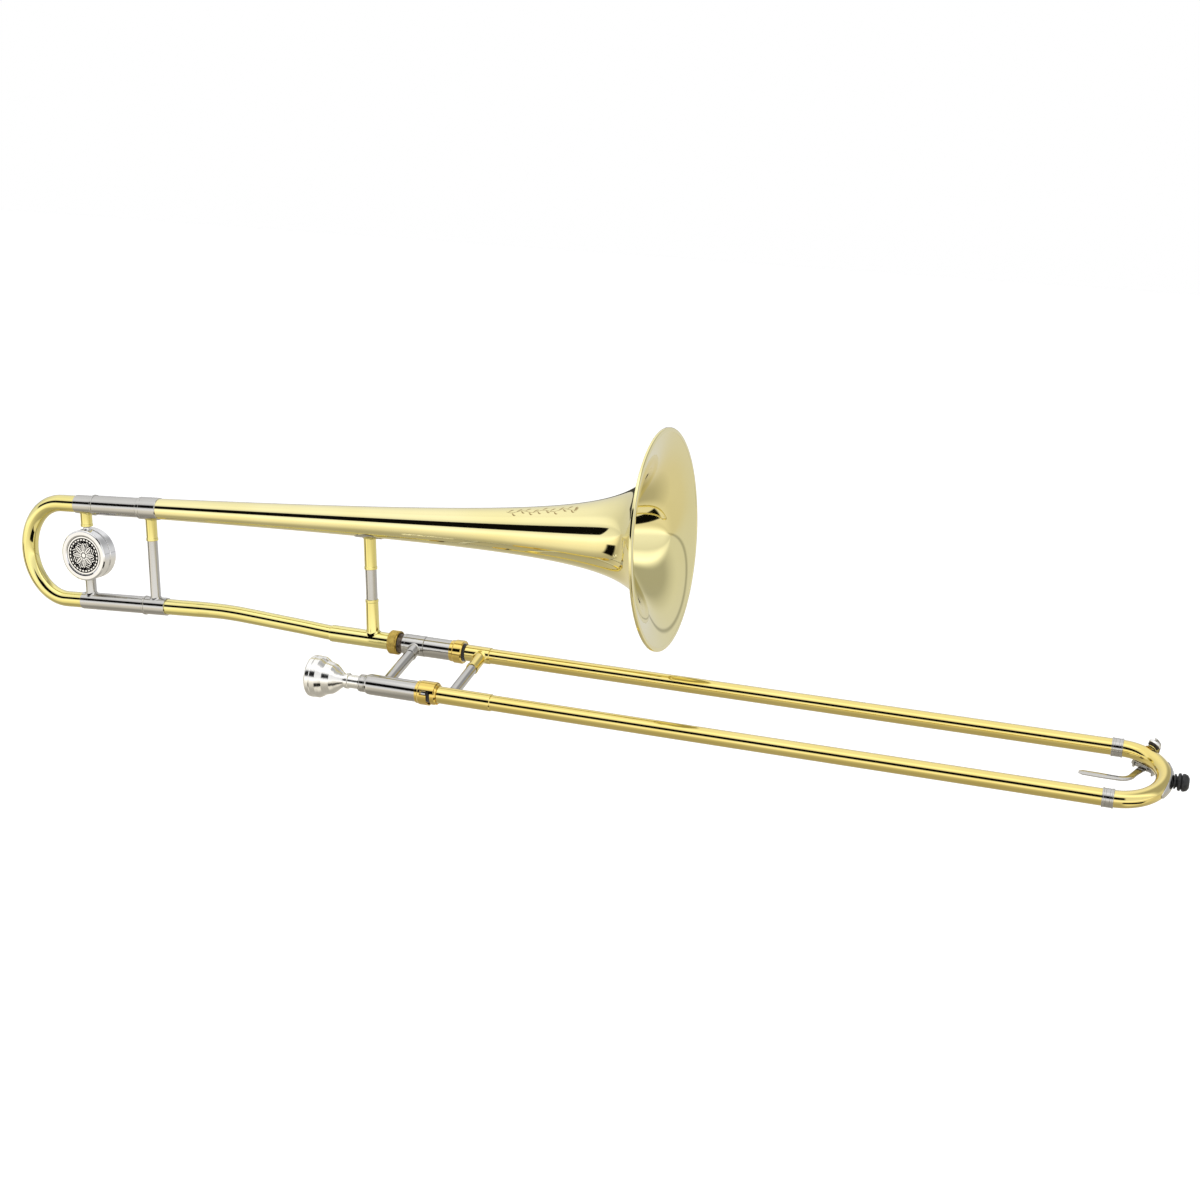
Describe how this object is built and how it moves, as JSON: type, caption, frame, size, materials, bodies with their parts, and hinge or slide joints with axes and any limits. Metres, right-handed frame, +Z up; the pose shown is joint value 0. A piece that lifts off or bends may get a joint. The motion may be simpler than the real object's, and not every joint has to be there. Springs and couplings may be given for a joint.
{
  "type": "tenor trombone",
  "caption": "Straight tenor trombone with a flared bell on a tuning slide section and a sliding double tube ending in a crook with a water key.",
  "frame": {"origin": "on the axis of the bell-side slide tube, where the bell section's taper meets the hand slide, which is where the left hand holds the instrument", "axes": "+X forward along the hand slide, +Z up, the bell in the XZ plane, the mouthpiece side towards -Y"},
  "size_m": [1.161, 0.2032, 0.274],
  "materials": {
    "bell_flare": "polished clear lacquer",
    "bell_lock_nut": "polished clear lacquer",
    "bell_rim_bead": "polished clear lacquer",
    "bell_saddle_flange": "polished nickel silver",
    "bell_side_barrel": "polished nickel silver",
    "bell_side_crook_ferrule": "polished nickel silver",
    "bell_side_end_ring": "polished clear lacquer",
    "bell_side_felt": "dense black felt",
    "bell_side_inner_tube": "hard chrome, polished",
    "bell_side_outer_tube": "polished clear lacquer",
    "bell_side_oversleeve": "polished clear lacquer",
    "bell_tail_ferrule": "polished nickel silver",
    "counterweight_drum": "hard chrome, polished",
    "counterweight_lower_post": "polished nickel silver",
    "counterweight_medallion": "blackened relief",
    "counterweight_upper_post": "polished clear lacquer",
    "crook_guard": "polished nickel silver",
    "front_brace_lower_socket": "polished clear lacquer",
    "front_brace_tube": "polished nickel silver",
    "front_brace_upper_socket": "polished clear lacquer",
    "gooseneck": "polished clear lacquer",
    "hand_slide_receiver": "polished nickel silver",
    "inner_brace_socket": "polished nickel silver",
    "inner_brace_tube": "polished nickel silver",
    "leadpipe": "polished clear lacquer",
    "lower_bow_sleeve": "polished nickel silver",
    "lower_inner_leg": "polished nickel silver",
    "lower_tuning_receiver": "polished nickel silver",
    "mouthpiece": "silver plate, polished",
    "mouthpiece_receiver": "polished nickel silver",
    "mouthpiece_side_barrel": "polished nickel silver",
    "mouthpiece_side_crook_ferrule": "polished nickel silver",
    "mouthpiece_side_felt": "dense black felt",
    "mouthpiece_side_inner_tube": "hard chrome, polished",
    "mouthpiece_side_outer_tube": "polished clear lacquer",
    "mouthpiece_side_oversleeve": "polished clear lacquer",
    "neck_sleeve": "polished clear lacquer",
    "neck_taper": "fine turned steel",
    "outer_brace_socket": "polished clear lacquer",
    "outer_brace_tube": "polished nickel silver",
    "rear_brace_socket": "polished clear lacquer",
    "rear_brace_tube": "polished nickel silver",
    "slide_crook": "polished clear lacquer",
    "slide_end_bumper": "matt black rubber",
    "slide_lock_collar": "polished clear lacquer",
    "slide_lock_ring": "polished clear lacquer",
    "tuning_bow": "polished clear lacquer",
    "upper_bow_ferrule": "polished nickel silver",
    "upper_inner_leg": "polished nickel silver",
    "upper_tuning_receiver": "polished nickel silver",
    "water_key_arm": "polished nickel silver",
    "water_key_cork": "dark pressed cork",
    "water_key_cup": "silver plate, polished",
    "water_key_hinge_tube": "polished nickel silver",
    "water_key_lever": "polished nickel silver",
    "water_key_nipple": "polished clear lacquer",
    "water_key_rod": "fine turned steel",
    "water_key_saddle": "polished nickel silver",
    "water_key_spring": "fine turned steel"
  },
  "bodies": {
    "bell_section": {"bell_flare": "bell_flare", "bell_rim_bead": "bell_rim_bead", "bell_tail_ferrule": "bell_tail_ferrule", "upper_tuning_receiver": "upper_tuning_receiver", "lower_tuning_receiver": "lower_tuning_receiver", "gooseneck": "gooseneck", "neck_sleeve": "neck_sleeve", "neck_taper": "neck_taper", "bell_saddle_flange": "bell_saddle_flange", "front_brace_upper_socket": "front_brace_upper_socket", "front_brace_tube": "front_brace_tube", "front_brace_lower_socket": "front_brace_lower_socket", "rear_brace_socket": "rear_brace_socket", "rear_brace_tube": "rear_brace_tube"},
    "bell_lock_nut": {"bell_lock_nut": "bell_lock_nut"},
    "tuning_slide": {"tuning_bow": "tuning_bow", "upper_bow_ferrule": "upper_bow_ferrule", "upper_inner_leg": "upper_inner_leg", "lower_bow_sleeve": "lower_bow_sleeve", "lower_inner_leg": "lower_inner_leg", "counterweight_upper_post": "counterweight_upper_post", "counterweight_lower_post": "counterweight_lower_post", "counterweight_drum": "counterweight_drum", "counterweight_medallion": "counterweight_medallion"},
    "inner_slide": {"hand_slide_receiver": "hand_slide_receiver", "bell_side_barrel": "bell_side_barrel", "bell_side_end_ring": "bell_side_end_ring", "bell_side_felt": "bell_side_felt", "bell_side_inner_tube": "bell_side_inner_tube", "mouthpiece_receiver": "mouthpiece_receiver", "mouthpiece_side_barrel": "mouthpiece_side_barrel", "mouthpiece_side_felt": "mouthpiece_side_felt", "mouthpiece_side_inner_tube": "mouthpiece_side_inner_tube", "leadpipe": "leadpipe", "inner_brace_socket": "inner_brace_socket", "inner_brace_tube": "inner_brace_tube"},
    "slide_lock_ring": {"slide_lock_ring": "slide_lock_ring"},
    "mouthpiece": {"mouthpiece": "mouthpiece"},
    "outer_slide": {"bell_side_outer_tube": "bell_side_outer_tube", "mouthpiece_side_outer_tube": "mouthpiece_side_outer_tube", "bell_side_oversleeve": "bell_side_oversleeve", "mouthpiece_side_oversleeve": "mouthpiece_side_oversleeve", "bell_side_crook_ferrule": "bell_side_crook_ferrule", "mouthpiece_side_crook_ferrule": "mouthpiece_side_crook_ferrule", "slide_crook": "slide_crook", "outer_brace_socket": "outer_brace_socket", "outer_brace_tube": "outer_brace_tube", "slide_lock_collar": "slide_lock_collar", "crook_guard": "crook_guard", "slide_end_bumper": "slide_end_bumper", "water_key_nipple": "water_key_nipple", "water_key_saddle": "water_key_saddle", "water_key_rod": "water_key_rod", "water_key_spring": "water_key_spring"},
    "water_key": {"water_key_lever": "water_key_lever", "water_key_arm": "water_key_arm", "water_key_hinge_tube": "water_key_hinge_tube", "water_key_cup": "water_key_cup", "water_key_cork": "water_key_cork"}
  },
  "joints": [
    {"name": "tuning_slide_travel", "type": "slide", "parent": "bell_section", "child": "tuning_slide", "axis": [-0.9983, 0, -0.0579], "range_m": [0, 0.015]},
    {"name": "bell_lock_nut_turn", "type": "hinge", "parent": "bell_section", "child": "bell_lock_nut", "pos_m": [0, 0, 0], "axis": [1, 0, 0], "range_deg": [0, 720]},
    {"name": "hand_slide_swivel", "type": "hinge", "parent": "bell_section", "child": "inner_slide", "pos_m": [0, 0, 0], "axis": [1, 0, 0], "range_deg": [-30, 45]},
    {"name": "slide_lock_turn", "type": "hinge", "parent": "inner_slide", "child": "slide_lock_ring", "pos_m": [0.06, -0.0754, -0.02034], "axis": [1, 0, 0], "range_deg": [0, 40]},
    {"name": "mouthpiece_pull", "type": "slide", "parent": "inner_slide", "child": "mouthpiece", "axis": [-1, 0, 0], "range_m": [0, 0.03]},
    {"name": "hand_slide_travel", "type": "slide", "parent": "inner_slide", "child": "outer_slide", "axis": [1, 0, 0], "range_m": [0, 0.56]},
    {"name": "water_key_pivot", "type": "hinge", "parent": "outer_slide", "child": "water_key", "pos_m": [0.69786, -0.00296, -0.01323], "axis": [-0.8338, 0.533, 0.1438], "range_deg": [0, 14], "stiffness_Nm_per_rad": 0.15, "springref_deg": -22.92}
  ]
}
